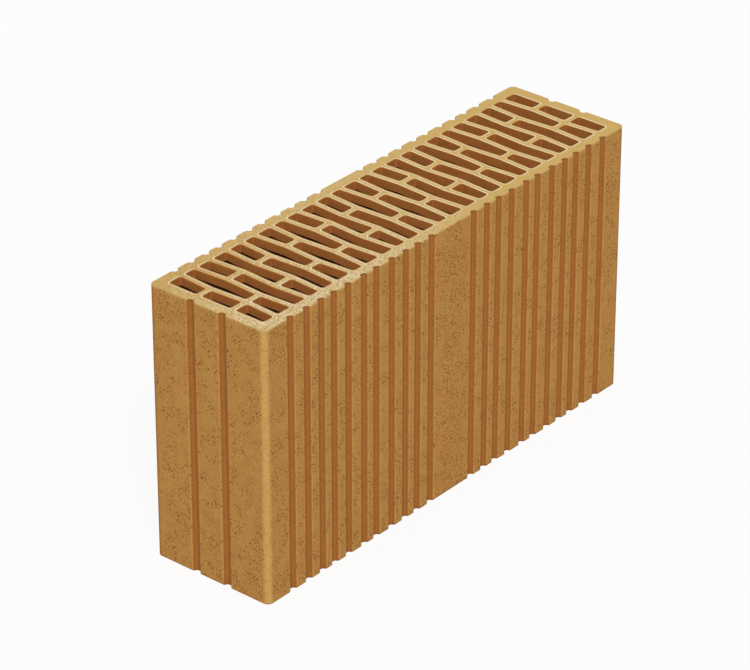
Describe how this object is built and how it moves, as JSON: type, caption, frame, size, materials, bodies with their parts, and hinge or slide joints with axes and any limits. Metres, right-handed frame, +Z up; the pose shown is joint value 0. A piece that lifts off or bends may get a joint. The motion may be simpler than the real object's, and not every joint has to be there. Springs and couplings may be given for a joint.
{
  "type": "perforated clay brick",
  "caption": "Extruded hollow clay wall block with rows of vertical cells, zigzag webs and keying grooves on every outer face.",
  "frame": {"origin": "centre of the lower bed, on the plane the block stands on", "axes": "+X along the length, +Y across the width, +Z up along the cells"},
  "size_m": [0.44, 0.115, 0.239],
  "materials": {
    "fired_clay": "rough matt fired clay"
  },
  "bodies": {
    "root": {"clay_block": "fired_clay"}
  },
  "joints": []
}
